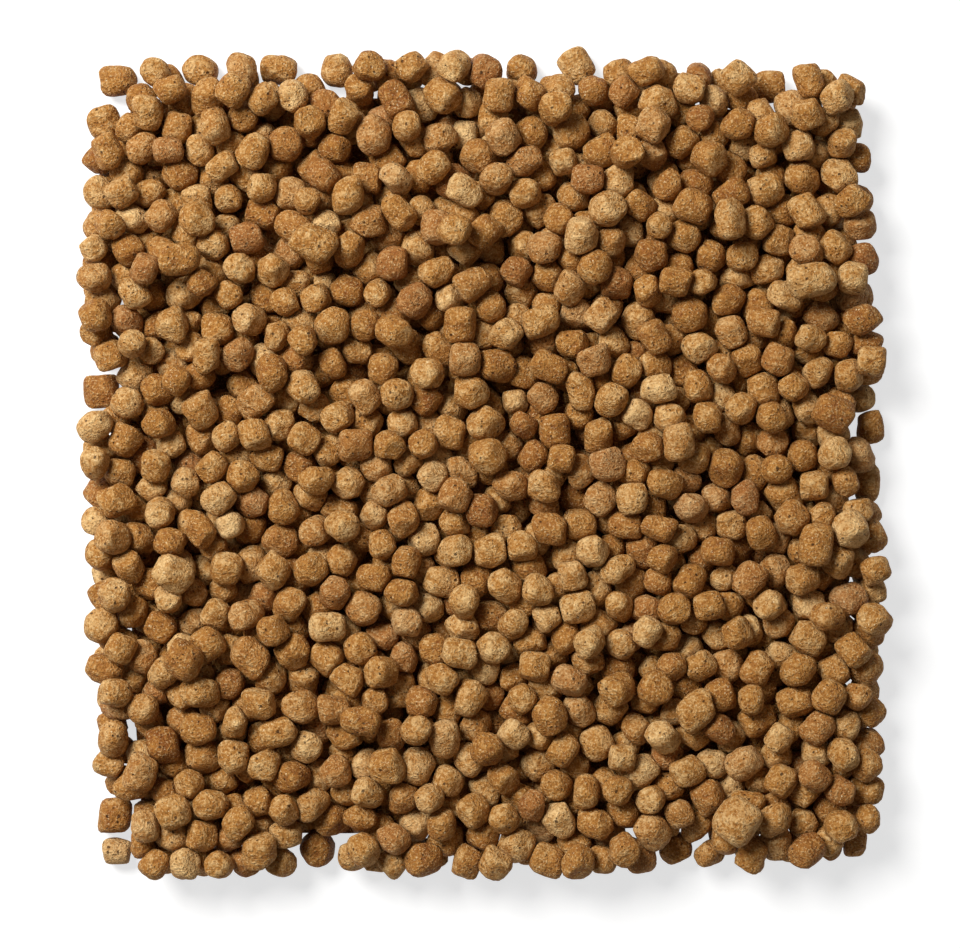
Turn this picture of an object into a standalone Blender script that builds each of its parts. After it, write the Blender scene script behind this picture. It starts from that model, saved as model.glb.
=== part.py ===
"""A square bed of dry pet food pellets, poured inside a frame that was then lifted away.

Most pellets are one fused solid, kibble_bed, closed under its pebbled skin: one domed patch
for each pellet that shows from above, and the rim pellets' sides down to the floor. The
pellets that stand free at its foot, or lie free on its top, are solids of their own, each set
down against what carries it.
Metres, +Z up. The origin is on the floor, under the middle of the bed.
"""

import math

import bmesh
import bpy
import numpy as np
from mathutils import Quaternion, Vector, geometry, kdtree
from mathutils.bvhtree import BVHTree

MM = 0.001

# The bed
BED_WIDTH = 213.6 * MM
BED_LENGTH = 218.4 * MM
BED_DEPTH = 20.5 * MM
POURING_SEED = 31

# How far each side bulges past a true rectangle at its start, middle and end. The left and
# right sides run from front to back, the front and back sides from left to right.
LEFT_BULGE = (-3.2 * MM, 1.2 * MM, 0.2 * MM)
RIGHT_BULGE = (0.3 * MM, 2.2 * MM, -3.8 * MM)
FRONT_BULGE = (1.0 * MM, 1.4 * MM, -2.2 * MM)
BACK_BULGE = (0.6 * MM, 2.2 * MM, -2.4 * MM)

# One pellet: a short extruded rod, cut off at both ends and puffed up by drying. The
# squareness is how sharply the round side turns over into the cut ends.
PELLET_DIAMETER = 8.3 * MM
PELLET_LENGTH = 8.4 * MM
DIAMETER_SPREAD = 0.08
LENGTH_SPREAD = 0.12
SQUARENESS = (2.5, 4.4)
FREE_SQUARENESS = 3.2

# How the pellets lie together: the share of the bed that they fill, how near two of them come
# for the size of the balls that would hold as much, and how far each rolls downhill
POURED_SHARE = 0.575
PRESSED_SHARE = 0.94
POUR_TRIES = 30
ROLL_STEPS = 14
FREE_ROLL_STEPS = 4
ROLL_LENGTH = 0.7 * MM
FLOOR_FLAT = 0.25 * MM

# Free pellets at the foot of the bed: the side that each stands at, its place along that side
# from -1 to 1, how far it stands out, its diameter and length, and its heading in degrees,
# or None where it stands on a cut end
FREE_AT_FOOT = (
    ("back", -0.93, 0.7 * MM, 8.3 * MM, 10.2 * MM, 5),
    ("back", -0.72, 4.3 * MM, 9.1 * MM, 9.1 * MM, None),
    ("back", -0.52, 3.6 * MM, 8.3 * MM, 10.5 * MM, 0),
    ("back", -0.37, 3.9 * MM, 8.9 * MM, 8.9 * MM, 80),
    ("back", 0.10, 4.3 * MM, 8.6 * MM, 9.1 * MM, None),
    ("back", 0.24, 5.2 * MM, 8.9 * MM, 9.4 * MM, 120),
    ("back", 0.73, -0.3 * MM, 8.6 * MM, 8.9 * MM, 0),
    ("left", 0.86, 2.3 * MM, 9.4 * MM, 9.7 * MM, None),
    ("left", 0.19, 2.1 * MM, 9.1 * MM, 10.2 * MM, 90),
    ("left", -0.87, -2.1 * MM, 9.1 * MM, 10.2 * MM, 90),
    ("front", -0.93, 0.4 * MM, 7.3 * MM, 8.3 * MM, 0),
    ("front", -0.42, 0.3 * MM, 9.7 * MM, 9.7 * MM, None),
    ("front", 0.49, 0.5 * MM, 9.1 * MM, 9.1 * MM, None),
    ("right", -0.94, -0.8 * MM, 7.0 * MM, 7.3 * MM, 90),
    ("right", -0.04, 2.6 * MM, 6.7 * MM, 10.7 * MM, 90),
    ("right", 0.10, 3.6 * MM, 7.8 * MM, 9.1 * MM, 90),
)

# Free pellets on the top: the place of each across and along the bed, from -1 to 1, then its
# diameter, length and heading as above
FREE_ON_TOP = (
    (-0.42, 0.58, 9.9 * MM, 12.1 * MM, -35),
    (-0.80, 0.52, 8.3 * MM, 10.7 * MM, 0),
    (-0.09, 0.59, 9.1 * MM, 9.7 * MM, None),
    (0.66, 0.65, 8.3 * MM, 11.0 * MM, 90),
    (0.88, 0.49, 8.9 * MM, 13.2 * MM, 10),
    (0.49, 0.08, 8.3 * MM, 9.9 * MM, 100),
    (0.86, -0.22, 9.1 * MM, 12.1 * MM, 90),
    (0.68, -0.90, 11.3 * MM, 12.4 * MM, 50),
    (-0.77, -0.47, 9.9 * MM, 10.5 * MM, 150),
    (-0.31, -0.62, 8.1 * MM, 10.7 * MM, -3),
)
FREE_CLEARANCE = 0.3 * MM
FOOT_ROOM = 0.7 * MM
NOTCH_ROOM = 1.5 * MM
SEAT_ROOM = 0.8 * MM

# The skin of the fused solid, seen from above. A pellet owns the patch on which it is the
# highest, out to a share of its radius. A patch with less than the least share of its ball's
# section is left out. A full one has a top face on a share of the patch, tilted with the
# pellet, and a smaller one has a point.
PATCH_REACH = 1.12
PATCH_CORNERS = 7
LEAST_PATCH = 0.25
FULL_PATCH = 0.6
CORNER_MERGE = 2.6 * MM
TOP_SHARE = 0.58
TOP_HEIGHT = 0.9
STEEPEST_TOP = 0.3

# Between the pellets the skin leaves each ball's dome at a share of its radius and falls off
# at a slope, out to where the next layer's floor takes over
DOME_SHARE = 0.8
GAP_SLOPE = 2.2
GAP_REACH = 1.45
GAP_FLOOR = 8 * MM

# The rim: columns of points down the outer pellets, looked for from outside the bed's outline
# to some way inside it
RIM_STATIONS = 60
RIM_LEVELS = 5
RIM_OUTSIDE = 5 * MM
RIM_INSIDE = 6.5 * MM
RIM_MARGIN = 1.2 * MM
LOWEST_RIM = 1 * MM

COLOURS = {
    "mixed_kibble": (0.38, 0.21, 0.09, 1.0),
    "tan_kibble": (0.44, 0.26, 0.12, 1.0),
    "pale_kibble": (0.56, 0.36, 0.17, 1.0),
    "brown_kibble": (0.32, 0.16, 0.07, 1.0),
}
KIBBLE_ROUGHNESS = 0.75

SIDES = {"left": (-1, 0), "right": (1, 0), "front": (0, -1), "back": (0, 1)}


def bulge(offsets, along):
    """The bulge of a side at a place along it, from -1 at its start to 1 at its end."""
    start, middle, end = offsets
    return middle + (end - start) / 2 * along + ((start + end) / 2 - middle) * along**2


def spot(across, along, inset):
    """The place, for shares from -1 to 1, in the bed's outline drawn in by an inset."""
    left = -BED_WIDTH / 2 - bulge(LEFT_BULGE, along) + inset
    right = BED_WIDTH / 2 + bulge(RIGHT_BULGE, along) - inset
    front = -BED_LENGTH / 2 - bulge(FRONT_BULGE, across) + inset
    back = BED_LENGTH / 2 + bulge(BACK_BULGE, across) - inset
    return (left + right) / 2 + across * (right - left) / 2, (front + back) / 2 + along * (back - front) / 2


def barrel_volume(diameter, length):
    """A pellet's volume, as the share of its cylinder that its round ends leave."""
    return 0.84 * math.pi / 4 * diameter**2 * length


def ball_radius(diameter, length):
    """The radius of the ball that holds as much as a pellet."""
    return (3 * barrel_volume(diameter, length) / (4 * math.pi)) ** (1 / 3)


def turn_of(heading):
    """The turn that lays a pellet's axis along a heading, or leaves it standing for None."""
    if heading is None:
        return Quaternion()
    angle = math.radians(heading)
    return Vector((0, 0, 1)).rotation_difference(Vector((math.cos(angle), math.sin(angle), 0)))


def rest_heights(x, y, radius, laid):
    """The height at which a ball dropped at each x, y comes to rest on the balls laid so far."""
    nearest = (radius + laid[:, 3]) * PRESSED_SHARE
    room = nearest**2 - (x[:, None] - laid[:, 0]) ** 2 - (y[:, None] - laid[:, 1]) ** 2
    heights = np.where(room > 0, laid[:, 2] + np.sqrt(np.maximum(room, 0)), 0)
    return np.maximum(heights.max(axis=1, initial=0), radius - FLOOR_FLAT)


def roll(across, along, radius, laid, steps):
    """A ball's place after it has rolled downhill from a place, as (x, y, height)."""
    compass = np.linspace(0, 2 * math.pi, 8, endpoint=False)
    step_across = np.append(0, np.cos(compass)) * ROLL_LENGTH / (BED_WIDTH / 2)
    step_along = np.append(0, np.sin(compass)) * ROLL_LENGTH / (BED_LENGTH / 2)
    for _ in range(steps):
        tries_across = np.clip(across + step_across, -1, 1)
        tries_along = np.clip(along + step_along, -1, 1)
        heights = rest_heights(*spot(tries_across, tries_along, radius), radius, laid)
        lowest = heights.argmin()
        if lowest == 0:
            break
        across, along = tries_across[lowest], tries_along[lowest]
    x, y = spot(across, along, radius)
    return x, y, rest_heights(np.array([x]), np.array([y]), radius, laid)[0]


def foot_place(side, along, out, diameter, length, heading):
    """The middle of a free pellet that stands out from a side of the bed, and the way out."""
    way_x, way_y = SIDES[side]
    reach = diameter / 2
    if heading is not None:
        turned = math.radians(heading) - math.atan2(way_y, way_x)
        reach = math.hypot(length / 2 * math.cos(turned), diameter / 2 * math.sin(turned))
    x = way_x * (BED_WIDTH / 2 + out - reach) + abs(way_y) * along * BED_WIDTH / 2
    y = way_y * (BED_LENGTH / 2 + out - reach) + abs(way_x) * along * BED_LENGTH / 2
    return x, y, Vector((way_x, way_y, 0))


def pour():
    """Every pellet of the fused bed, as (centre, diameter, length, squareness, turn), and the
    balls (x, y, height, radius) that stand for all pellets laid.

    The free pellets at the foot are there first, and nothing comes to lie on them. Each of the
    others falls at the lowest of a few chance places, then rolls into the nearest pocket.
    """
    random = np.random.RandomState(POURING_SEED)
    balls = []
    for side, along, out, diameter, length, heading in FREE_AT_FOOT:
        x, y, _ = foot_place(side, along, out, diameter, length, heading)
        balls.append((x, y, BED_WIDTH, ball_radius(diameter, length) + FOOT_ROOM))
    filled = POURED_SHARE * BED_WIDTH * BED_LENGTH * BED_DEPTH
    count = round(filled / barrel_volume(PELLET_DIAMETER, PELLET_LENGTH))
    balls = np.vstack([balls, np.zeros((count, 4))])
    pellets = []
    for number in range(len(FREE_AT_FOOT), len(balls)):
        diameter = PELLET_DIAMETER * (1 + DIAMETER_SPREAD * np.clip(random.normal(), -2, 2))
        length = PELLET_LENGTH * (1 + LENGTH_SPREAD * np.clip(random.normal(), -1.6, 2.2))
        squareness = random.uniform(*SQUARENESS)
        turn = Quaternion(random.normal(size=4)).normalized()
        radius = ball_radius(diameter, length)
        across = random.uniform(-1, 1, POUR_TRIES)
        along = random.uniform(-1, 1, POUR_TRIES)
        laid = balls[:number]
        lowest = rest_heights(*spot(across, along, radius), radius, laid).argmin()
        x, y, height = roll(across[lowest], along[lowest], radius, laid, ROLL_STEPS)
        balls[number] = x, y, height, radius
        pellets.append((Vector((x, y, height)), diameter, length, squareness, turn))
    return pellets, balls


def unit_ball(subdivisions):
    """The points and faces of an icosphere of radius 1."""
    bm = bmesh.new()
    bmesh.ops.create_icosphere(bm, subdivisions=subdivisions, radius=1)
    points = np.array([v.co for v in bm.verts])
    faces = np.array([[v.index for v in f.verts] for f in bm.faces])
    bm.free()
    return points, faces


def barrel(points, diameter, length, squareness, turn):
    """A unit ball's points, moved out to a pellet's rounded barrel and turned."""
    across = np.hypot(points[:, 0], points[:, 1]) / (diameter / 2)
    along = np.abs(points[:, 2]) / (length / 2)
    reach = (across**squareness + along**squareness) ** (-1 / squareness)
    return (points * reach[:, None]) @ np.array(turn.to_matrix()).T


def new_collection(name):
    collection = bpy.data.collections.new(name)
    bpy.context.scene.collection.children.link(collection)
    return collection


def new_material(name):
    material = bpy.data.materials.new(name)
    material.use_nodes = True
    shader = material.node_tree.nodes["Principled BSDF"]
    shader.inputs["Base Color"].default_value = COLOURS[name]
    shader.inputs["Roughness"].default_value = KIBBLE_ROUGHNESS
    shader.inputs["Metallic"].default_value = 0
    material.diffuse_color = COLOURS[name]
    return material


def new_object(name, points, faces, collection, material):
    mesh = bpy.data.meshes.new(name)
    mesh.from_pydata(points.tolist(), [], faces.tolist())
    mesh.materials.append(material)
    obj = bpy.data.objects.new(name, mesh)
    collection.objects.link(obj)
    return obj


def clipped(polygon, normal, limit):
    """The part of a polygon where normal . point is at least a limit."""
    kept = []
    for number, point in enumerate(polygon):
        before = polygon[number - 1]
        here, there = point @ normal - limit, before @ normal - limit
        if (here < 0) != (there < 0):
            kept.append(before + (point - before) * there / (there - here))
        if here >= 0:
            kept.append(point)
    return kept


def polygon_area(polygon):
    x, y = np.array(polygon).T
    return 0.5 * abs(x @ np.roll(y, 1) - y @ np.roll(x, 1))


def patch_share(polygon, ball):
    """The size of a patch for its ball's section."""
    return polygon_area(polygon) / (math.pi * ball[3] ** 2)


def patches(pellets, balls):
    """For each ball that shows from above, its number and the corners of its own patch."""
    angles = np.linspace(0, 2 * math.pi, PATCH_CORNERS, endpoint=False)
    tops = balls[:, 2] + balls[:, 3]
    roundness = balls[:, 3].mean()
    found = []
    for number, (x, y, _, radius) in enumerate(balls):
        middle = np.array((x, y))
        axis = pellets[number][4] @ Vector((0, 0, 1))
        turned = angles + math.atan2(axis.y, axis.x)
        polygon = list(middle + PATCH_REACH * radius * np.column_stack([np.cos(turned), np.sin(turned)]))
        away = np.linalg.norm(balls[:, :2] - middle, axis=1)
        for other in np.argsort(away)[1:]:
            if away[other] > 2.3 * PATCH_REACH * radius or len(polygon) < 3:
                break
            neighbour = balls[other, :2]
            lead = 2 * roundness * (tops[number] - tops[other])
            limit = (middle @ middle - neighbour @ neighbour - lead) / 2
            polygon = clipped(polygon, middle - neighbour, limit)
        if len(polygon) > 2 and patch_share(polygon, balls[number]) > LEAST_PATCH:
            found.append((number, polygon))
    return found


def skin_heights(points, balls):
    """The height of the skin at each x, y: over a ball its dome, beside it a slope down into
    the gap, and nowhere lower than the floor of the gaps."""
    points = np.asarray(points)
    away = np.linalg.norm(points[:, None] - balls[:, :2], axis=2) / balls[:, 3]
    dome = np.sqrt(np.maximum(1 - away**2, 0))
    slope = math.sqrt(1 - DOME_SHARE**2) - GAP_SLOPE * (away - DOME_SHARE)
    height = balls[:, 2] + balls[:, 3] * np.where(away < DOME_SHARE, dome, slope)
    return np.where(away < GAP_REACH, height, GAP_FLOOR).max(axis=1)


def seats(balls):
    """The balls, three to a pellet, that stand for the free pellets on the top where they lie."""
    found = []
    for across, along, diameter, length, heading in FREE_ON_TOP:
        middle = roll(across, along, ball_radius(diameter, length), balls, FREE_ROLL_STEPS)
        axis = turn_of(heading) @ Vector((0, 0, 1))
        for share in (-1, 0, 1):
            place = Vector(middle) + axis * share * (length - diameter) / 2
            found.append((*place, diameter / 2 + SEAT_ROOM))
    return found


def lowered(points, heights, seated):
    """The skin's heights, lowered where a free pellet lies on it."""
    points = np.asarray(points)
    heights = np.asarray(heights)
    for x, y, height, radius in seated:
        away = np.hypot(points[:, 0] - x, points[:, 1] - y)
        under = height - np.sqrt(np.maximum(radius**2 - away**2, 0))
        heights = np.where(away < radius, np.minimum(heights, under), heights)
    return heights


def way_in(across, along, foot_balls):
    """The way into the bed on which a column of the rim is looked for. It starts outside, or
    on the far side of a free pellet at the foot."""
    start = np.array(spot(across, along, -RIM_OUTSIDE))
    end = np.array(spot(across, along, RIM_INSIDE))
    length = np.linalg.norm(end - start)
    way = (end - start) / length
    to_ball = foot_balls[:, :2] - start
    reached = to_ball @ way
    room = (foot_balls[:, 3] + NOTCH_ROOM) ** 2 - ((to_ball**2).sum(axis=1) - reached**2)
    half = np.sqrt(np.maximum(room, 0))
    far_side = reached + half - NOTCH_ROOM - FOOT_ROOM
    past = np.where((room > 0) & (reached - half < length), far_side, 0).max()
    start = start + way * max(past, 0)
    return start, start + way * max(length - past, RIM_MARGIN)


def first_met(start, end, balls, level=None):
    """Where the way from start to end first meets a ball, seen from above or cut at a level,
    and the number of that ball. It is the end and None if the way meets none."""
    length = np.linalg.norm(end - start)
    way = (end - start) / length
    reach = balls[:, 3] ** 2
    if level is not None:
        reach = reach - (balls[:, 2] - level) ** 2
    to_ball = balls[:, :2] - start
    along = to_ball @ way
    room = reach - ((to_ball**2).sum(axis=1) - along**2)
    half = np.sqrt(np.maximum(room, 0))
    met = np.where((room > 0) & (reach > 0) & (along + half > 0), along - half, length)
    first = met.argmin()
    if met[first] >= length:
        return end, None
    return start + way * max(met[first], 0), first


def rim_columns(balls, foot_balls):
    """Columns of points down the side of the bed, from front left all the way round."""
    shares = np.linspace(-1, 1, RIM_STATIONS + 1)[:-1]
    full = np.ones_like(shares)
    across = np.concatenate([shares, full, -shares, -full])
    along = np.concatenate([-full, shares, full, -shares])
    columns = []
    for place in zip(across, along):
        start, end = way_in(*place, foot_balls)
        widest, ball = first_met(start, end, balls)
        top = GAP_FLOOR if ball is None else balls[ball, 2]
        column = [(*widest, top)]
        for level in np.linspace(top, 0, RIM_LEVELS)[1:]:
            met, _ = first_met(start, end, balls, max(level, LOWEST_RIM))
            column.append((*met, level))
        columns.append(column)
    return columns


def well_inside(point, outline):
    """Whether a point lies inside an outline, and further from it than the rim's margin."""
    following = np.roll(outline, -1, axis=0)
    side = following - outline
    share = ((point - outline) * side).sum(axis=1) / (side**2).sum(axis=1)
    nearest = outline + side * np.clip(share, 0, 1)[:, None]
    if np.linalg.norm(nearest - point, axis=1).min() < RIM_MARGIN:
        return False
    straddles = (outline[:, 1] > point[1]) != (following[:, 1] > point[1])
    crossing = outline[straddles] + side[straddles] * (
        (point[1] - outline[straddles, 1]) / side[straddles, 1]
    )[:, None]
    return bool((crossing[:, 0] > point[0]).sum() % 2)


def merged(corners):
    """Corners that lie near each other as one: the places, and the place of each corner."""
    tree = kdtree.KDTree(len(corners))
    for number, corner in enumerate(corners):
        tree.insert((*corner, 0), number)
    tree.balance()
    place_of = np.full(len(corners), -1)
    places = []
    for number, corner in enumerate(corners):
        if place_of[number] < 0:
            group = [near for _, near, _ in tree.find_range((*corner, 0), CORNER_MERGE) if place_of[near] < 0]
            place_of[group] = len(places)
            places.append(corners[group].mean(axis=0))
    return np.array(places), place_of


def top_face(shape, ball, turn):
    """The tilted top face of a pellet: its corners and their heights."""
    axis = turn @ Vector((0, 0, 1))
    slope = np.zeros(2)
    if abs(axis.z) > STEEPEST_TOP:
        slope = np.clip(np.array((axis.x, axis.y)) / axis.z, -STEEPEST_TOP, STEEPEST_TOP)
    middle = shape.mean(axis=0)
    corners = middle + (shape - middle) * TOP_SHARE
    return corners, ball[2] + TOP_HEIGHT * ball[3] - (corners - ball[:2]) @ slope


def pebbled_top(pellets, balls, outline):
    """The points inside the outline, their heights, and the edges that the skin has to keep."""
    owned = patches(pellets, balls)
    places, place_of = merged(np.concatenate([polygon for _, polygon in owned]))
    kept = np.array([well_inside(place, outline) for place in places])
    number_of = np.cumsum(kept) - 1
    points = list(places[kept])
    heights = list(skin_heights(points, balls))
    edges = []
    first = 0
    for ball, polygon in owned:
        loop = place_of[first:first + len(polygon)]
        first += len(polygon)
        loop = loop[loop != np.roll(loop, 1)]
        for start, end in zip(loop, np.roll(loop, -1)):
            if kept[start] and kept[end]:
                edges.append((number_of[start], number_of[end]))
        middle = places[loop].mean(axis=0) if len(loop) > 2 else None
        if middle is None or not well_inside(middle, outline):
            continue
        if patch_share(places[loop], balls[ball]) < FULL_PATCH:
            points.append(middle)
            heights.extend(skin_heights([middle], balls))
            continue
        corners, tops = top_face(places[loop], balls[ball], pellets[ball][4])
        ring = []
        for corner, top in zip(corners, tops):
            if well_inside(corner, outline):
                ring.append(len(points))
                points.append(corner)
                heights.append(top)
        if len(ring) > 2:
            edges += zip(ring, ring[1:] + ring[:1])
    return points, heights, edges


def filled(points, edges, ring):
    """The flat area inside a ring of points as triangles that keep the given edges: their
    corners, and for each corner the points that it was, if any."""
    flat = [Vector(point[:2]) for point in points]
    corners, _, faces, sources, *_ = geometry.delaunay_2d_cdt(flat, edges, [ring], 1, MM / 1000)
    return corners, faces, sources


def build_bed(pellets, all_balls, parts):
    """The fused bed: its pebbled top, its rim and its flat underside as one closed skin."""
    foot_balls, balls = np.split(all_balls, [len(FREE_AT_FOOT)])
    columns = rim_columns(balls, foot_balls)
    outline = np.array([column[0][:2] for column in columns])
    points, heights, edges = pebbled_top(pellets, balls, outline)
    ring = list(range(len(points), len(points) + len(columns)))
    heights = [*lowered(points, heights, seats(all_balls)), *(column[0][2] for column in columns)]
    corners, faces, sources = filled([*points, *outline], edges, ring)
    bm = bmesh.new()
    top = []
    for corner, source in zip(corners, sources):
        height = heights[source[0]] if source else skin_heights([corner], balls)[0]
        top.append(bm.verts.new((*corner, height)))
    for face in faces:
        bm.faces.new([top[number] for number in face])
    number_of = {old: new for new, source in enumerate(sources) for old in source}
    upper = [top[number_of[number]] for number in ring]
    for level in range(1, RIM_LEVELS):
        lower = [bm.verts.new(column[level]) for column in columns]
        for number in range(len(ring)):
            bm.faces.new((upper[number - 1], lower[number - 1], lower[number], upper[number]))
        upper = lower
    _, faces, sources = filled([vert.co for vert in upper], [], list(range(len(upper))))
    for face in faces:
        bm.faces.new([upper[sources[number][0]] for number in face])
    bmesh.ops.triangulate(bm, faces=bm.faces)
    bmesh.ops.recalc_face_normals(bm, faces=bm.faces)
    mesh = bpy.data.meshes.new("kibble_bed")
    bm.to_mesh(mesh)
    bm.free()
    mesh.materials.append(new_material("mixed_kibble"))
    bed = bpy.data.objects.new("kibble_bed", mesh)
    parts.objects.link(bed)
    return bed


class Neighbours:
    """What the free pellets are set down against: the bed, and those that are down already."""

    def __init__(self, bed):
        self.points = []
        self.trees = []
        self.add(
            np.array([vertex.co for vertex in bed.data.vertices]),
            np.array([face.vertices[:] for face in bed.data.polygons]),
        )

    def add(self, points, faces):
        self.points.append(points)
        self.trees.append(BVHTree.FromPolygons(points.tolist(), faces.tolist()))

    def gap(self, points, faces, reach):
        """The gap from a pellet to the nearest neighbour, seen from the corners of both."""
        middle = points.mean(axis=0)
        seen = np.concatenate([points, points[faces].mean(axis=1)])
        tree = BVHTree.FromPolygons(points.tolist(), faces.tolist())
        nearest = reach
        for other_points, other_tree in zip(self.points, self.trees):
            near = other_points[np.linalg.norm(other_points - middle, axis=1) < 2 * reach]
            distances = [other_tree.find_nearest(point, reach)[3] for point in seen]
            distances += [tree.find_nearest(point, reach)[3] for point in near]
            nearest = min([nearest] + [distance for distance in distances if distance is not None])
        return nearest


def set_down(points, faces, way_out, start, neighbours):
    """Moves a pellet in from outside, against its way out, up to its clearance."""
    reach = PELLET_LENGTH
    points = points + np.array(way_out) * start
    travelled = 0
    while travelled < 2 * start:
        step = neighbours.gap(points, faces, reach) - FREE_CLEARANCE
        if step < FREE_CLEARANCE / 20:
            break
        points = points - np.array(way_out) * step
        travelled += step
    neighbours.add(points, faces)
    return points


def build_free_pellets(bed, balls, parts):
    """The free pellets, first those at the foot and then those on the top."""
    ball_points, faces = unit_ball(2)
    neighbours = Neighbours(bed)
    tones = [new_material(name) for name in ("tan_kibble", "pale_kibble", "brown_kibble")]
    for number, (side, along, out, diameter, length, heading) in enumerate(FREE_AT_FOOT, 1):
        x, y, way_out = foot_place(side, along, out, diameter, length, heading)
        points = barrel(ball_points, diameter, length, FREE_SQUARENESS, turn_of(heading))
        points += np.array((x, y, -points[:, 2].min()))
        points = set_down(points, faces, way_out, 2 * PELLET_LENGTH, neighbours)
        new_object(f"foot_pellet_{number:02d}", points, faces, parts, tones[number % len(tones)])
    for number, (across, along, diameter, length, heading) in enumerate(FREE_ON_TOP, 1):
        radius = ball_radius(diameter, length)
        x, y, height = roll(across, along, radius, balls, FREE_ROLL_STEPS)
        points = barrel(ball_points, diameter, length, FREE_SQUARENESS, turn_of(heading))
        points += np.array((x, y, height))
        points = set_down(points, faces, Vector((0, 0, 1)), PELLET_LENGTH, neighbours)
        new_object(f"top_pellet_{number:02d}", points, faces, parts, tones[number % len(tones)])


def main():
    for obj in list(bpy.data.objects):
        bpy.data.objects.remove(obj)
    parts = new_collection("kibble")
    pellets, balls = pour()
    bed = build_bed(pellets, balls, parts)
    build_free_pellets(bed, balls, parts)


main()
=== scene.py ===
"""The look of a square bed of dry pet food pellets, seen from straight above on white.

The pellets are poured by the same rule as in the part, and each gets a skin of its own: a
puffed barrel with pressed flats, lumps and creases, and a baked, grainy, pitted colour, the
pits darkened with painted shade.
Metres, +Z up, in the frame of the part.
"""

import math

import bpy
import numpy as np
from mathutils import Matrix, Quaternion, Vector


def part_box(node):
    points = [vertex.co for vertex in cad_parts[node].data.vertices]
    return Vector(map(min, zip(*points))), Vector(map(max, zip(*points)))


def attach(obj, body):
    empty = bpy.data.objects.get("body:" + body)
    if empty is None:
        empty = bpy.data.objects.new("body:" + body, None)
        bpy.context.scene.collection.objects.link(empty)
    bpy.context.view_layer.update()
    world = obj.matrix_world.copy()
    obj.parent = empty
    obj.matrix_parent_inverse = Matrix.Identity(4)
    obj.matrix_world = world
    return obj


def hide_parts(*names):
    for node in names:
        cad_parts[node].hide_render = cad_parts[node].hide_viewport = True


MM = 0.001

# The bed and its pour, as in the part
BED_WIDTH = 213.6 * MM
BED_LENGTH = 218.4 * MM
BED_DEPTH = 20.5 * MM
POURING_SEED = 31
LEFT_BULGE = (-3.2 * MM, 1.2 * MM, 0.2 * MM)
RIGHT_BULGE = (0.3 * MM, 2.2 * MM, -3.8 * MM)
FRONT_BULGE = (1.0 * MM, 1.4 * MM, -2.2 * MM)
BACK_BULGE = (0.6 * MM, 2.2 * MM, -2.4 * MM)
PELLET_DIAMETER = 8.3 * MM
PELLET_LENGTH = 8.4 * MM
DIAMETER_SPREAD = 0.08
LENGTH_SPREAD = 0.12
SQUARENESS = (2.5, 4.4)
POURED_SHARE = 0.575
PRESSED_SHARE = 0.94
POUR_TRIES = 30
ROLL_STEPS = 14
ROLL_LENGTH = 0.7 * MM
FLOOR_FLAT = 0.25 * MM
FOOT_ROOM = 0.7 * MM

# The free pellets, as in the part: at the foot (side, along, out, diameter, length, heading)
FREE_AT_FOOT = (
    ("back", -0.93, 0.7 * MM, 8.3 * MM, 10.2 * MM, 5),
    ("back", -0.72, 4.3 * MM, 9.1 * MM, 9.1 * MM, None),
    ("back", -0.52, 3.6 * MM, 8.3 * MM, 10.5 * MM, 0),
    ("back", -0.37, 3.9 * MM, 8.9 * MM, 8.9 * MM, 80),
    ("back", 0.10, 4.3 * MM, 8.6 * MM, 9.1 * MM, None),
    ("back", 0.24, 5.2 * MM, 8.9 * MM, 9.4 * MM, 120),
    ("back", 0.73, -0.3 * MM, 8.6 * MM, 8.9 * MM, 0),
    ("left", 0.86, 2.3 * MM, 9.4 * MM, 9.7 * MM, None),
    ("left", 0.19, 2.1 * MM, 9.1 * MM, 10.2 * MM, 90),
    ("left", -0.87, -2.1 * MM, 9.1 * MM, 10.2 * MM, 90),
    ("front", -0.93, 0.4 * MM, 7.3 * MM, 8.3 * MM, 0),
    ("front", -0.42, 0.3 * MM, 9.7 * MM, 9.7 * MM, None),
    ("front", 0.49, 0.5 * MM, 9.1 * MM, 9.1 * MM, None),
    ("right", -0.94, -0.8 * MM, 7.0 * MM, 7.3 * MM, 90),
    ("right", -0.04, 2.6 * MM, 6.7 * MM, 10.7 * MM, 90),
    ("right", 0.10, 3.6 * MM, 7.8 * MM, 9.1 * MM, 90),
)
# and on the top (diameter, length, heading)
FREE_ON_TOP = (
    (9.9 * MM, 12.1 * MM, -35),
    (8.3 * MM, 10.7 * MM, 0),
    (9.1 * MM, 9.7 * MM, None),
    (8.3 * MM, 11.0 * MM, 90),
    (8.9 * MM, 13.2 * MM, 10),
    (8.3 * MM, 9.9 * MM, 100),
    (9.1 * MM, 12.1 * MM, 90),
    (11.3 * MM, 12.4 * MM, 50),
    (9.9 * MM, 10.5 * MM, 150),
    (8.1 * MM, 10.7 * MM, -3),
)
FREE_SQUARENESS = 3.2
ROUND_SHARE = 0.84
SIDES = {"left": (-1, 0), "right": (1, 0), "front": (0, -1), "back": (0, 1)}

# The pieces that the bed is made in, and how finely a pellet that shows or is hidden is made
PATCHES = 5
OPEN_CUTS = 8
PARTLY_HIDDEN_CUTS = 6
HIDDEN_CUTS = 3
SEEN_GRID = 1.2 * MM
OPEN_SEEN = 13
PARTLY_SEEN = 3
RIM_PELLETS = 1.5
SHEET_MARGIN = 0.06

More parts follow.
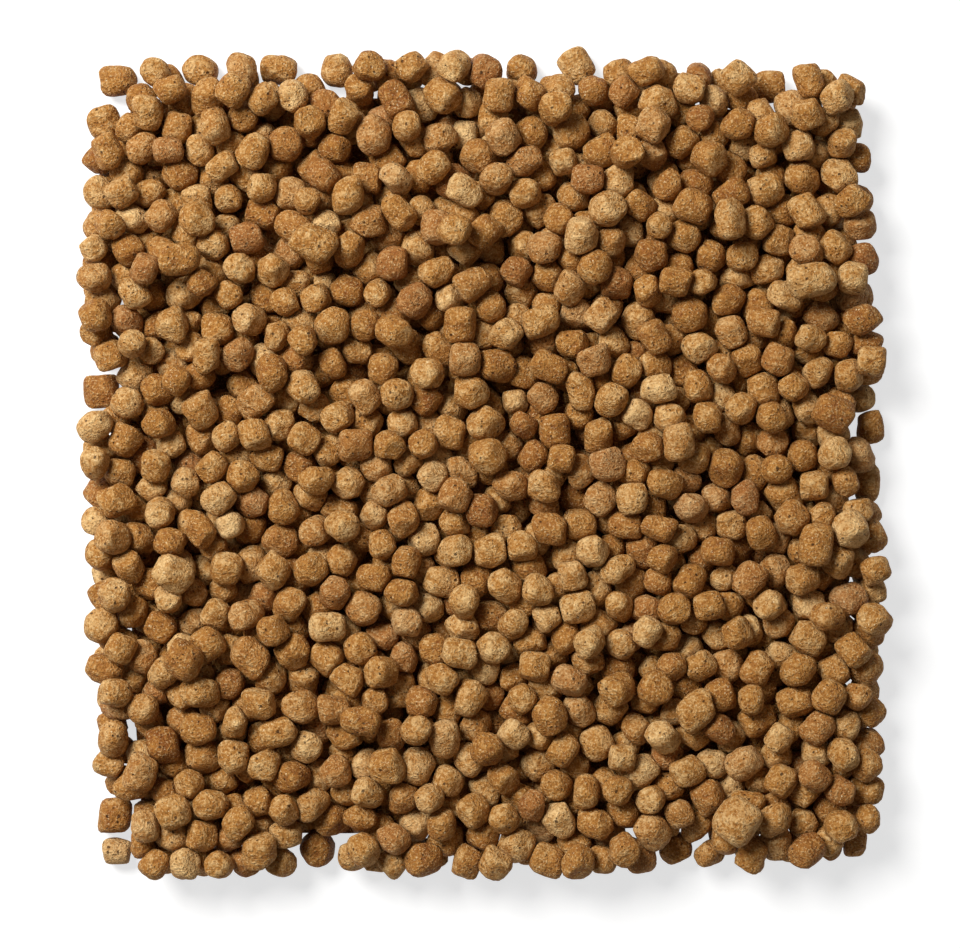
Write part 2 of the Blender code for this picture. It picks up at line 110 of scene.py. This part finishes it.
# How a pellet's skin differs from the part's plain barrel: how much sharper its edges are, where
# its cut ends start and fade in, how oval, tapered and bent it is, its flats (3 to 7 of them), its
# lumps (height, waves, fineness) and its creases
SHARPER = 1.12
END_START = 0.72
END_FADE = 0.2
OVAL_SPREAD = 0.035
TAPER_SPREAD = 0.05
BEND_SPREAD = 0.07
FLATS = (3, 8)
FLAT_START = (0.76, 0.94)
FLAT_DEPTH = 0.8
LUMPS = ((0.030, 4, 2.3), (0.025, 6, 6.0), (0.012, 8, 13.0))
CREASE_DEPTH = 0.035
CREASE_WIDTH = 0.16
CREASE_LINES = (5, 3.2)
CREASE_PLACES = (4, 2.5)
CREASE_SHARE = 0.2

# How pellets press on each other and on the floor
PRESS_GAP = 0.12 * MM
PRESS_EDGE = 0.6 * MM
PRESS_REACH = 1.3

# The closed middle of the bed, a sheet kept dark as painted shade of the lower layers
CORE_CUTS = 90
CORE_INSET = 11 * MM
CORE_HEIGHT = 3.5 * MM
CORE_UNEVEN = 0.8 * MM
CORE_WAVES = (9, 4.0)
CORE_SHADE_TONE = 0.05

# How pale and how red a pellet is: the mean and spread of its tone, and the draw for its red
TONE = (0.51, 0.11)
TONE_LIMITS = (0.05, 1)
RED_DRAW = (-1.2, 0.9)

# The kibble's colours
DARK_CRUST = (0.22, 0.068, 0.010, 1)
BROWN_CRUST = (0.440, 0.196, 0.040, 1)
PALE_CRUST = (0.84, 0.565, 0.255, 1)
RED_CRUST = (0.30, 0.098, 0.028, 1)
DARK_GRAIN = (0.11, 0.034, 0.007, 1)
PALE_GRAIN = (0.86, 0.64, 0.34, 1)
# The pits' near-black is painted shade in the pores
PIT_SHADE_COLOUR = (0.045, 0.014, 0.004, 1)
CRUMB_COLOUR = (0.90, 0.74, 0.46, 1)

# Its patterns, in cells or waves a metre, and how far the uneven one makes the spots drift
UNEVEN_SCALE = 950.0
MOTTLE_SCALE = 380.0
GRAIN_SCALE = 1700.0
PIT_SCALE = 700.0
FINE_SCALE = 1350.0
NOISE_ROUGHNESS = 0.55
GRAIN_ROUGHNESS = 0.65
DRIFT = 0.8 * MM

# How much each pattern shows: in the tone, in the colour (a grain's range and its share of the
# colour over that range), and as spots. A cell has a pit where its draw is under the first number
# and a crumb where it is over it, and the second is the largest size
BROWN_AT = 0.50
MOTTLE_SHOWS = 0.9
END_PALER = 0.08
RED_SHOWS = 0.7
DARK_GRAIN_RANGE = (0.30, 0.50, 0.50, 0.0)
PALE_GRAIN_RANGE = (0.53, 0.67, 0.0, 0.52)
PITS = (0.34, 0.34)
FINE_PITS = (0.62, 0.38)
CRUMBS = (0.70, 0.36)
SPOT_FADE = 0.35
FINE_PITS_SHARE = 0.85
PITS_SHOW = 0.8
CRUMBS_SHOW = 0.6

# How rough and how bumpy the surface is
ROUGHNESS = 0.52
END_ROUGHER = 0.12
PATCH_ROUGHER = 0.25
SPECULAR = 0.2
GRAIN_HEIGHT = 1.1
PATCH_HEIGHT = 1.2
PIT_HEIGHT = 0.7
BUMP_DISTANCE = 0.7 * MM

# The camera, from the photograph's frame
FRAME_WIDTH = 256.7 * MM
FRAME_MIDDLE = (-0.7 * MM, -2.0 * MM)
FOCUS_HEIGHT = 18 * MM
LENS = 100
SENSOR = 36

# The lamp: up to the left and behind, and how much light it gives the bed's middle
KEY_PLACE = Vector((-0.51, 0.48, 0.85))
KEY_SIZE = 0.55
KEY_LEVEL = 4.55
KEY_COLOUR = (1.0, 0.985, 0.96)
FILL_LEVEL = 0.11
FILL_COLOUR = (1.0, 0.84, 0.66, 1)

# The floor: its white for light and for the camera, and its glow near the bed and further off
FLOOR_WHITE = 0.80
FLOOR_SEEN = 0.44
FLOOR_GLOW = 0.70
GLOW_FADE = (0.16, 0.50)
GLOW_COLOUR = (0.97, 0.985, 1.0, 1)
FLOOR_HALF = 3.0


def bulge(offsets, along):
    """The bulge of a side at a place along it, from -1 at its start to 1 at its end."""
    start, middle, end = offsets
    return middle + (end - start) / 2 * along + ((start + end) / 2 - middle) * along**2


def spot(across, along, inset):
    """The place, for shares from -1 to 1, in the bed's outline drawn in by an inset."""
    left = -BED_WIDTH / 2 - bulge(LEFT_BULGE, along) + inset
    right = BED_WIDTH / 2 + bulge(RIGHT_BULGE, along) - inset
    front = -BED_LENGTH / 2 - bulge(FRONT_BULGE, across) + inset
    back = BED_LENGTH / 2 + bulge(BACK_BULGE, across) - inset
    x = (left + right) / 2 + across * (right - left) / 2
    return x, (front + back) / 2 + along * (back - front) / 2


def barrel_volume(diameter, length):
    """A pellet's volume, as the share of its cylinder that its round ends leave."""
    return ROUND_SHARE * math.pi / 4 * diameter**2 * length


def ball_radius(diameter, length):
    """The radius of the ball that holds as much as a pellet."""
    return (3 * barrel_volume(diameter, length) / (4 * math.pi)) ** (1 / 3)


def turn_of(heading):
    """The turn that lays a pellet's axis along a heading, or leaves it standing for None."""
    if heading is None:
        return Quaternion()
    angle = math.radians(heading)
    return Vector((0, 0, 1)).rotation_difference(Vector((math.cos(angle), math.sin(angle), 0)))


def rest_heights(x, y, radius, laid):
    """The height at which a ball dropped at each x, y comes to rest on the balls laid so far."""
    nearest = (radius + laid[:, 3]) * PRESSED_SHARE
    room = nearest**2 - (x[:, None] - laid[:, 0]) ** 2 - (y[:, None] - laid[:, 1]) ** 2
    heights = np.where(room > 0, laid[:, 2] + np.sqrt(np.maximum(room, 0)), 0)
    return np.maximum(heights.max(axis=1, initial=0), radius - FLOOR_FLAT)


def roll(across, along, radius, laid, steps):
    """A ball's place after it has rolled downhill from a place, as (x, y, height)."""
    compass = np.linspace(0, 2 * math.pi, 8, endpoint=False)
    step_across = np.append(0, np.cos(compass)) * ROLL_LENGTH / (BED_WIDTH / 2)
    step_along = np.append(0, np.sin(compass)) * ROLL_LENGTH / (BED_LENGTH / 2)
    for _ in range(steps):
        tries_across = np.clip(across + step_across, -1, 1)
        tries_along = np.clip(along + step_along, -1, 1)
        heights = rest_heights(*spot(tries_across, tries_along, radius), radius, laid)
        lowest = heights.argmin()
        if lowest == 0:
            break
        across, along = tries_across[lowest], tries_along[lowest]
    x, y = spot(across, along, radius)
    return x, y, rest_heights(np.array([x]), np.array([y]), radius, laid)[0]


def foot_place(side, along, out, diameter, length, heading):
    """The middle of a free pellet that stands out from a side of the bed."""
    way_x, way_y = SIDES[side]
    reach = diameter / 2
    if heading is not None:
        turned = math.radians(heading) - math.atan2(way_y, way_x)
        reach = math.hypot(length / 2 * math.cos(turned), diameter / 2 * math.sin(turned))
    x = way_x * (BED_WIDTH / 2 + out - reach) + abs(way_y) * along * BED_WIDTH / 2
    y = way_y * (BED_LENGTH / 2 + out - reach) + abs(way_x) * along * BED_LENGTH / 2
    return x, y


def pour():
    """Every pellet of the fused bed, as (centre, diameter, length, squareness, turn), and the
    balls (x, y, height, radius) that stand for them."""
    random = np.random.RandomState(POURING_SEED)
    balls = []
    for side, along, out, diameter, length, heading in FREE_AT_FOOT:
        x, y = foot_place(side, along, out, diameter, length, heading)
        balls.append((x, y, BED_WIDTH, ball_radius(diameter, length) + FOOT_ROOM))
    filled = POURED_SHARE * BED_WIDTH * BED_LENGTH * BED_DEPTH
    count = round(filled / barrel_volume(PELLET_DIAMETER, PELLET_LENGTH))
    balls = np.vstack([balls, np.zeros((count, 4))])
    pellets = []
    for number in range(len(FREE_AT_FOOT), len(balls)):
        diameter = PELLET_DIAMETER * (1 + DIAMETER_SPREAD * np.clip(random.normal(), -2, 2))
        length = PELLET_LENGTH * (1 + LENGTH_SPREAD * np.clip(random.normal(), -1.6, 2.2))
        squareness = random.uniform(*SQUARENESS)
        turn = Quaternion(random.normal(size=4)).normalized()
        radius = ball_radius(diameter, length)
        across = random.uniform(-1, 1, POUR_TRIES)
        along = random.uniform(-1, 1, POUR_TRIES)
        laid = balls[:number]
        lowest = rest_heights(*spot(across, along, radius), radius, laid).argmin()
        x, y, height = roll(across[lowest], along[lowest], radius, laid, ROLL_STEPS)
        balls[number] = x, y, height, radius
        pellets.append((Vector((x, y, height)), diameter, length, squareness, turn))
    return pellets, balls[len(FREE_AT_FOOT):]


def cube_ball(cuts):
    """A unit ball made as a cube of 6 x cuts x cuts quads: its points, the quads, and each
    quad corner's place on a sheet that lays the cube's sides out 3 by 2."""
    steps = np.linspace(-1, 1, cuts + 1)
    u, v = np.meshgrid(np.tan(steps * math.pi / 4), np.tan(steps * math.pi / 4), indexing="ij")
    one = np.ones_like(u)
    sides = [(u, v, one), (v, u, -one), (one, u, v), (-one, v, u), (v, one, u), (u, -one, v)]
    points = np.concatenate([np.stack(side, axis=-1).reshape(-1, 3) for side in sides])
    points /= np.linalg.norm(points, axis=1)[:, None]
    _, first, home = np.unique(points.round(6), axis=0, return_index=True, return_inverse=True)
    home = home.reshape(-1)
    row = cuts + 1
    corner = (np.arange(cuts)[:, None] * row + np.arange(cuts)).reshape(-1)
    quad = np.stack([corner, corner + row, corner + row + 1, corner + 1], axis=1)
    quads = []
    places = []
    shares = np.linspace(SHEET_MARGIN, 1 - SHEET_MARGIN, row)
    for side in range(6):
        quads.append(quad + side * row * row)
        across = (side % 3 + shares[quad // row]) / 3
        along = (side // 3 + shares[quad % row]) / 2
        places.append(np.stack([across, along], axis=-1))
    return points[first], home[np.concatenate(quads)], np.concatenate(places)


def waves(points, random, count, fineness):
    """A smooth random height, about -1 to 1, at each point."""
    ways = random.normal(size=(3, count))
    ways *= fineness / np.linalg.norm(ways, axis=0)
    heights = np.sin(points @ ways + random.uniform(0, 2 * math.pi, count))
    return heights.mean(axis=1) * math.sqrt(count)


def pellet_skin(ball, diameter, length, squareness, random):
    """A unit ball's points moved out to one pellet: a puffed barrel along Z with a bent and
    tapered body, flats where others pressed on it, lumps and creases. Also how far each point
    belongs to a cut end."""
    squareness *= SHARPER
    across = np.hypot(ball[:, 0], ball[:, 1]) / (diameter / 2)
    along = np.abs(ball[:, 2]) / (length / 2)
    reach = (across**squareness + along**squareness) ** (-1 / squareness)
    half = diameter / 2
    skin = ball * reach[:, None] / half
    ends = np.clip((np.abs(skin[:, 2]) * half / (length / 2) - END_START) / END_FADE, 0, 1)
    oval = random.normal() * OVAL_SPREAD
    skin *= (1 + oval, 1 - oval, 1)
    skin[:, :2] *= 1 + random.normal() * TAPER_SPREAD * skin[:, 2:]
    skin[:, :2] += random.normal(size=2) * BEND_SPREAD * skin[:, 2:]
    for _ in range(random.randint(*FLATS)):
        way = random.normal(size=3)
        way /= np.linalg.norm(way)
        high = skin @ way
        over = np.maximum(high - high.max() * random.uniform(*FLAT_START), 0)
        skin -= np.outer(over * FLAT_DEPTH, way)
    bumps = sum(height * waves(skin, random, count, fineness) for height, count, fineness in LUMPS)
    crease = np.exp(-((waves(skin, random, *CREASE_LINES) / CREASE_WIDTH) ** 2))
    creased = np.clip(waves(skin, random, *CREASE_PLACES) + CREASE_SHARE, 0, 1)
    bumps -= CREASE_DEPTH * crease * creased
    skin *= 1 + bumps[:, None]
    return skin * half, ends


def pressed(points, ball, balls):
    """A pellet's points, drawn in to soft flats where they would enter the floor or the
    pellets round it."""
    ways = balls[:, :3] - ball[:3]
    apart = np.linalg.norm(ways, axis=1)
    near = (apart > 0) & (apart < PRESS_REACH * (ball[3] + balls[:, 3]))
    ways, apart = ways[near] / apart[near, None], apart[near]
    limits = (apart**2 + ball[3] ** 2 - balls[near, 3] ** 2) / (2 * apart) - PRESS_GAP / 2
    ways = np.vstack([ways, (0, 0, -1)])
    limits = np.append(limits, ball[2])
    points = points - ball[:3]
    for way, limit in zip(ways, limits):
        over = np.maximum(points @ way - limit + PRESS_EDGE, 0)
        points -= np.outer(over - PRESS_EDGE * (1 - np.exp(-over / PRESS_EDGE)), way)
    return points + ball[:3]


def made(name, shapes, collection):
    """One mesh object of many pellets, from (points, quads, sheet places, ends, tone, red)."""
    points = np.concatenate([shape[0] for shape in shapes])
    first = np.cumsum([0] + [len(shape[0]) for shape in shapes[:-1]])
    quads = np.concatenate([shape[1] + start for shape, start in zip(shapes, first)])
    mesh = bpy.data.meshes.new(name)
    mesh.vertices.add(len(points))
    mesh.vertices.foreach_set("co", points.ravel())
    mesh.loops.add(quads.size)
    mesh.loops.foreach_set("vertex_index", quads.ravel())
    mesh.polygons.add(len(quads))
    mesh.polygons.foreach_set("loop_start", np.arange(0, quads.size, 4))
    mesh.update(calc_edges=True)
    mesh.shade_smooth()
    row = math.ceil(math.sqrt(len(shapes)))
    sheet = []
    for number, shape in enumerate(shapes):
        corner = np.array((number % row, number // row))
        sheet.append((corner + shape[2]) / row)
    layer = mesh.uv_layers.new(name="OFBake")
    layer.data.foreach_set("uv", np.concatenate(sheet).ravel())
    for kind, values in (
        ("end", np.concatenate([shape[3] for shape in shapes])),
        ("tone", np.concatenate([np.full(len(shape[0]), shape[4]) for shape in shapes])),
        ("red", np.concatenate([np.full(len(shape[0]), shape[5]) for shape in shapes])),
    ):
        attribute = mesh.attributes.new(kind, "FLOAT", "POINT")
        attribute.data.foreach_set("value", values)
    mesh.validate()
    obj = bpy.data.objects.new(name, mesh)
    collection.objects.link(obj)
    return obj


def cuts_of(balls):
    """How finely each ball's pellet is made: by how much of it shows from above, or as one
    that is partly hidden where it stands near the rim."""
    shown = np.zeros(len(balls), int)
    y = np.arange(-BED_LENGTH / 2, BED_LENGTH / 2, SEEN_GRID)
    for x in np.arange(-BED_WIDTH / 2, BED_WIDTH / 2, SEEN_GRID):
        near = np.flatnonzero(np.abs(balls[:, 0] - x) < balls[:, 3])
        away = (balls[near, 0] - x) ** 2 + (balls[near, 1] - y[:, None]) ** 2
        room = balls[near, 3] ** 2 - away
        height = np.where(room > 0, balls[near, 2] + np.sqrt(np.maximum(room, 0)), 0)
        np.add.at(shown, near[height.argmax(axis=1)[height.max(axis=1) > 0]], 1)
    rim_depth = RIM_PELLETS * PELLET_DIAMETER
    rim = np.abs(balls[:, 0]) > BED_WIDTH / 2 - rim_depth
    rim |= np.abs(balls[:, 1]) > BED_LENGTH / 2 - rim_depth
    cuts = np.where((shown >= PARTLY_SEEN) | rim, PARTLY_HIDDEN_CUTS, HIDDEN_CUTS)
    return np.where(shown >= OPEN_SEEN, OPEN_CUTS, cuts)


def node(tree, kind, **values):
    """Adds a shader node, with the values of its sockets and its properties set by name."""
    new = tree.nodes.new(kind)
    for name, value in values.items():
        socket = name.replace("_", " ").title()
        if socket in new.inputs:
            new.inputs[socket].default_value = value
        else:
            setattr(new, name, value)
    return new


def kibble_material():
    """Baked kibble: mottled tan to brown by pellet, grainy, with pale specks and with pits darkened
    by painted shade, rougher and paler on the cut ends."""
    material = bpy.data.materials.new("baked_kibble")
    material.use_nodes = True
    tree = material.node_tree
    link = tree.links.new
    shader = tree.nodes["Principled BSDF"]
    place = node(tree, "ShaderNodeTexCoord").outputs["Object"]
    uneven = node(
        tree, "ShaderNodeTexNoise", scale=UNEVEN_SCALE, detail=2.0, roughness=NOISE_ROUGHNESS
    )
    link(place, uneven.inputs["Vector"])
    drifted = node(tree, "ShaderNodeVectorMath", operation="MULTIPLY_ADD")
    drifted.inputs[1].default_value = (DRIFT,) * 3
    link(uneven.outputs["Color"], drifted.inputs[0])
    link(place, drifted.inputs[2])

    def attribute(name):
        """A value that each point of the mesh carries."""
        found = node(tree, "ShaderNodeAttribute", attribute_name=name)
        return found.outputs["Fac"]

    def noise(scale, detail, roughness=NOISE_ROUGHNESS):
        """Smooth noise, about 0 to 1."""
        step = node(tree, "ShaderNodeTexNoise", scale=scale, detail=detail, roughness=roughness)
        link(place, step.inputs["Vector"])
        return step.outputs["Fac"]

    def maths(operation, first, second, clamp=False):
        """One step of arithmetic on two sockets or numbers."""
        step = node(tree, "ShaderNodeMath", operation=operation, use_clamp=clamp)
        for socket, value in zip(step.inputs, (first, second)):
            if isinstance(value, (int, float)):
                socket.default_value = value
            else:
                link(value, socket)
        return step.outputs[0]

    def ranged(value, low, high, to_low=0.0, to_high=1.0):
        """A value moved softly from one range to another."""
        step = node(tree, "ShaderNodeMapRange", interpolation_type="SMOOTHSTEP")
        link(value, step.inputs["Value"])
        limits = {"From Min": low, "From Max": high, "To Min": to_low, "To Max": to_high}
        for name, number in limits.items():
            step.inputs[name].default_value = number
        return step.outputs["Result"]

    def mixed(share, first, second):
        """The colour between two, by a share."""
        step = node(tree, "ShaderNodeMix", data_type="RGBA")
        sockets = step.inputs[0], step.inputs[6], step.inputs[7]
        for socket, value in zip(sockets, (share, first, second)):
            if isinstance(value, (int, float, tuple)):
                socket.default_value = value
            else:
                link(value, socket)
        return step.outputs[2]

    def spots(scale):
        """The cells of a drifted Voronoi pattern: distance from the middle, and two draws."""
        cells = node(tree, "ShaderNodeTexVoronoi", scale=scale, feature="F1")
        link(drifted.outputs["Vector"], cells.inputs["Vector"])
        split = node(tree, "ShaderNodeSeparateColor")
        link(cells.outputs["Color"], split.inputs[0])
        return cells.outputs["Distance"], split.outputs[0], split.outputs[1]

    def specks(cells, rule, share, size):
        """Small round spots of up to a size, in those cells whose draw is under or over a share."""
        distance, draw, size_draw = cells
        near = maths("SUBTRACT", maths("MULTIPLY", size_draw, size), distance)
        return maths("MULTIPLY", maths(rule, draw, share), ranged(near, 0.0, size * SPOT_FADE))

    end = attribute("end")
    tone = attribute("tone")
    red = attribute("red")
    mottle = noise(MOTTLE_SCALE, 2.0)
    patchy = uneven.outputs["Fac"]
    grain = noise(GRAIN_SCALE, 3.0, GRAIN_ROUGHNESS)
    shade = tone
    for pattern in (mottle, patchy):
        shift = maths("MULTIPLY", maths("SUBTRACT", pattern, 0.5), MOTTLE_SHOWS)
        shade = maths("ADD", shade, shift)
    shade = maths("ADD", shade, maths("MULTIPLY", end, END_PALER), clamp=True)
    ramp = node(tree, "ShaderNodeValToRGB")
    ramp.color_ramp.elements[0].color = DARK_CRUST
    ramp.color_ramp.elements[1].color = PALE_CRUST
    ramp.color_ramp.elements.new(BROWN_AT).color = BROWN_CRUST
    link(shade, ramp.inputs["Fac"])
    body = ramp.outputs["Color"]
    body = mixed(maths("MULTIPLY", red, RED_SHOWS), body, RED_CRUST)
    body = mixed(ranged(grain, *DARK_GRAIN_RANGE), body, DARK_GRAIN)
    body = mixed(ranged(grain, *PALE_GRAIN_RANGE), body, PALE_GRAIN)
    fine_cells = spots(FINE_SCALE)
    pits = specks(spots(PIT_SCALE), "LESS_THAN", *PITS)
    fine_pits = specks(fine_cells, "LESS_THAN", *FINE_PITS)
    all_pits = maths("MAXIMUM", pits, maths("MULTIPLY", fine_pits, FINE_PITS_SHARE))
    # Pits, dented in the bump, darkened to near-black: painted shade in the pores
    body = mixed(maths("MULTIPLY", all_pits, PITS_SHOW), body, PIT_SHADE_COLOUR)
    crumbs = specks(fine_cells, "GREATER_THAN", *CRUMBS)
    body = mixed(maths("MULTIPLY", crumbs, CRUMBS_SHOW), body, CRUMB_COLOUR)
    link(body, shader.inputs["Base Color"])
    end_rough = maths("MULTIPLY", end, END_ROUGHER)
    rough = maths("ADD", end_rough, maths("MULTIPLY", patchy, PATCH_ROUGHER))
    link(maths("ADD", rough, ROUGHNESS), shader.inputs["Roughness"])
    shader.inputs["Specular IOR Level"].default_value = SPECULAR
    grain_height = maths("MULTIPLY", grain, GRAIN_HEIGHT)
    height = maths("ADD", grain_height, maths("MULTIPLY", patchy, PATCH_HEIGHT))
    height = maths("SUBTRACT", height, maths("MULTIPLY", pits, PIT_HEIGHT))
    bump = node(tree, "ShaderNodeBump", strength=1.0, distance=BUMP_DISTANCE)
    link(height, bump.inputs["Height"])
    link(bump.outputs["Normal"], shader.inputs["Normal"])
    return material


def tones(random):
    """How pale and how red one pellet is, from 0 to 1."""
    tone = np.clip(random.normal(*TONE), *TONE_LIMITS)
    red = max(random.uniform(*RED_DRAW), 0) * random.uniform()
    return tone, red


def shape_of(template, pellet, ball, balls, random):
    """One pellet as what made() takes: its skin turned, set in its place and pressed."""
    points, quads, places = template
    _, diameter, length, squareness, turn = pellet
    skin, ends = pellet_skin(points, diameter, length, squareness, random)
    points = skin @ np.array(turn.to_matrix()).T + ball[:3]
    return [pressed(points, ball, balls), quads, places, ends, *tones(random)]


def free_pellets():
    """The free pellets by node, as pour() gives those of the bed, and their balls."""
    sizes = {f"foot_pellet_{n:02d}": pellet[3:] for n, pellet in enumerate(FREE_AT_FOOT, 1)}
    sizes |= {f"top_pellet_{n:02d}": pellet for n, pellet in enumerate(FREE_ON_TOP, 1)}
    pellets = {}
    balls = []
    for name, (diameter, length, heading) in sizes.items():
        low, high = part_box(name)
        centre = (Vector(low) + Vector(high)) / 2
        pellets[name] = centre, diameter, length, FREE_SQUARENESS, turn_of(heading)
        balls.append((*centre, ball_radius(diameter, length)))
    return pellets, np.array(balls)


def seen(tree):
    """1 for what the camera sees, straight, in gloss or through glass, and 0 for other light."""
    path = node(tree, "ShaderNodeLightPath")
    share = path.outputs["Is Camera Ray"]
    for kind in ("Is Glossy Ray", "Is Transmission Ray"):
        either = node(tree, "ShaderNodeMath", operation="MAXIMUM")
        tree.links.new(share, either.inputs[0])
        tree.links.new(path.outputs[kind], either.inputs[1])
        share = either.outputs[0]
    return share


def floor_material():
    """White: it shows as white to the camera, and still takes the bed's shadow."""
    material = bpy.data.materials.new("white_floor")
    material.use_nodes = True
    tree = material.node_tree
    link = tree.links.new
    output = tree.nodes["Material Output"]
    tree.nodes.remove(tree.nodes["Principled BSDF"])
    share = seen(tree)
    plain = node(tree, "ShaderNodeBsdfDiffuse")
    white = node(tree, "ShaderNodeMath", operation="MULTIPLY_ADD")
    white.inputs[1].default_value = FLOOR_SEEN - FLOOR_WHITE
    white.inputs[2].default_value = FLOOR_WHITE
    link(share, white.inputs[0])
    link(white.outputs[0], plain.inputs["Color"])
    away = node(tree, "ShaderNodeVectorMath", operation="LENGTH")
    link(node(tree, "ShaderNodeNewGeometry").outputs["Position"], away.inputs[0])
    level = node(tree, "ShaderNodeMapRange", interpolation_type="SMOOTHSTEP", to_min=FLOOR_GLOW)
    level.inputs["From Min"].default_value, level.inputs["From Max"].default_value = GLOW_FADE
    link(away.outputs["Value"], level.inputs["Value"])
    strength = node(tree, "ShaderNodeMath", operation="MULTIPLY")
    link(share, strength.inputs[0])
    link(level.outputs["Result"], strength.inputs[1])
    glow = node(tree, "ShaderNodeEmission", color=GLOW_COLOUR)
    link(strength.outputs[0], glow.inputs["Strength"])
    both = node(tree, "ShaderNodeAddShader")
    link(plain.outputs[0], both.inputs[0])
    link(glow.outputs[0], both.inputs[1])
    link(both.outputs[0], output.inputs["Surface"])
    return material


def set_stage(scene):
    """The white floor, the camera straight above, the lamp and the soft light of the room."""
    floor_mesh = bpy.data.meshes.new("floor")
    turns = ((-1, -1), (1, -1), (1, 1), (-1, 1))
    corners = [(x * FLOOR_HALF, y * FLOOR_HALF, 0) for x, y in turns]
    floor_mesh.from_pydata(corners, [], [(0, 1, 2, 3)])
    floor_mesh.materials.append(floor_material())
    floor = bpy.data.objects.new("floor", floor_mesh)
    scene.collection.objects.link(floor)

    camera_data = bpy.data.cameras.new("camera")
    camera_data.lens = LENS
    camera_data.sensor_width = SENSOR
    camera = bpy.data.objects.new("camera", camera_data)
    away = FRAME_WIDTH * LENS / SENSOR
    camera.location = (*FRAME_MIDDLE, FOCUS_HEIGHT + away)
    scene.collection.objects.link(camera)
    scene.camera = camera

    key_data = bpy.data.lights.new("key", "AREA")
    key_data.shape = "DISK"
    key_data.size = KEY_SIZE
    key_data.energy = KEY_LEVEL * math.pi * KEY_PLACE.length_squared
    key_data.color = KEY_COLOUR
    key = bpy.data.objects.new("key", key_data)
    key.location = KEY_PLACE
    key.rotation_euler = (-KEY_PLACE).to_track_quat("-Z", "Y").to_euler()
    scene.collection.objects.link(key)

    world = bpy.data.worlds.new("soft_room")
    scene.world = world
    world.use_nodes = True
    tree = world.node_tree
    fill = tree.nodes["Background"]
    fill.inputs["Color"].default_value = FILL_COLOUR
    fill.inputs["Strength"].default_value = FILL_LEVEL
    backdrop = node(tree, "ShaderNodeBackground", color=(1.0, 1.0, 1.0, 1), strength=1.0)
    either = node(tree, "ShaderNodeMixShader")
    tree.links.new(seen(tree), either.inputs[0])
    tree.links.new(fill.outputs[0], either.inputs[1])
    tree.links.new(backdrop.outputs[0], either.inputs[2])
    tree.links.new(either.outputs[0], tree.nodes["World Output"].inputs["Surface"])
    scene.view_settings.view_transform = "Standard"


def build_bed(scene, material, templates, pellets, balls, all_balls):
    """The pellets of the bed, in square patches of many pellets each."""
    random = np.random.RandomState(POURING_SEED + 1)
    patches = {}
    for pellet, ball, cuts in zip(pellets, balls, cuts_of(balls)):
        shape = shape_of(templates[cuts], pellet, ball, all_balls, random)
        row = min(int((ball[1] / BED_LENGTH + 0.5) * PATCHES), PATCHES - 1)
        column = min(int((ball[0] / BED_WIDTH + 0.5) * PATCHES), PATCHES - 1)
        patches.setdefault((max(row, 0), max(column, 0)), []).append(shape)
    for (row, column), shapes in sorted(patches.items()):
        patch = made(f"bed_patch_r{row + 1}_c{column + 1}", shapes, scene.collection)
        patch.data.materials.append(material)
        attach(patch, "root")
        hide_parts("kibble_bed")


def build_core(scene, material):
    """The closed middle of the bed, seen only as the dark between the lowest pellets: a sheet whose
    near-darkest tone is painted shade of the lower layers.
    """
    shares = np.linspace(-1, 1, CORE_CUTS + 1)
    across, along = (grid.ravel() for grid in np.meshgrid(shares, shares))
    x, y = spot(across, along, CORE_INSET)
    random = np.random.RandomState(POURING_SEED + 3)
    flat = np.stack([x, y, 0 * x], axis=-1) / PELLET_DIAMETER
    z = CORE_HEIGHT + CORE_UNEVEN * waves(flat, random, *CORE_WAVES)
    row = CORE_CUTS + 1
    corner = (np.arange(CORE_CUTS)[:, None] * row + np.arange(CORE_CUTS)).ravel()
    quads = np.stack([corner, corner + 1, corner + row + 1, corner + row], axis=1)
    places = np.stack([quads % row, quads // row], axis=-1) / CORE_CUTS
    # The core's tone sits near the darkest crust: painted shade of the lower layers
    sheet = [np.stack([x, y, z], axis=-1), quads, places, np.zeros(len(x)), CORE_SHADE_TONE, 0.0]
    core = made("bed_core", [sheet], scene.collection)
    core.data.materials.append(material)
    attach(core, "root")
    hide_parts("kibble_bed")


def build_free(scene, material, template, pellets, balls, all_balls):
    """The free pellets, each a piece of its own in place of its node."""
    random = np.random.RandomState(POURING_SEED + 2)
    for (name, pellet), ball in zip(pellets.items(), balls):
        shape = shape_of(template, pellet, ball, all_balls, random)
        piece = made(name.replace("pellet", "kibble"), [shape], scene.collection)
        piece.data.materials.append(material)
        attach(piece, "root")
        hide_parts(name)


def plain(box):
    """A box's two corners as lists of plain numbers."""
    return [[float(number) for number in corner] for corner in box]


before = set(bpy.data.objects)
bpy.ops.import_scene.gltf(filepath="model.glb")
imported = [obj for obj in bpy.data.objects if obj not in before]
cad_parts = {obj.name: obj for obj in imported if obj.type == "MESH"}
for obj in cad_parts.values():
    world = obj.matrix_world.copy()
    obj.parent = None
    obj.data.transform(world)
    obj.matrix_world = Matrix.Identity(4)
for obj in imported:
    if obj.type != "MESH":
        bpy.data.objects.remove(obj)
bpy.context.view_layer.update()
stage_scene = bpy.context.scene
set_stage(stage_scene)
kibble = kibble_material()
unit_balls = {cuts: cube_ball(cuts) for cuts in (OPEN_CUTS, PARTLY_HIDDEN_CUTS, HIDDEN_CUTS)}
bed_pellets, bed_balls = pour()
loose_pellets, loose_balls = free_pellets()
every_ball = np.vstack([bed_balls, loose_balls])
build_bed(stage_scene, kibble, unit_balls, bed_pellets, bed_balls, every_ball)
build_core(stage_scene, kibble)
build_free(
    stage_scene, kibble, unit_balls[OPEN_CUTS], loose_pellets, loose_balls, every_ball
)
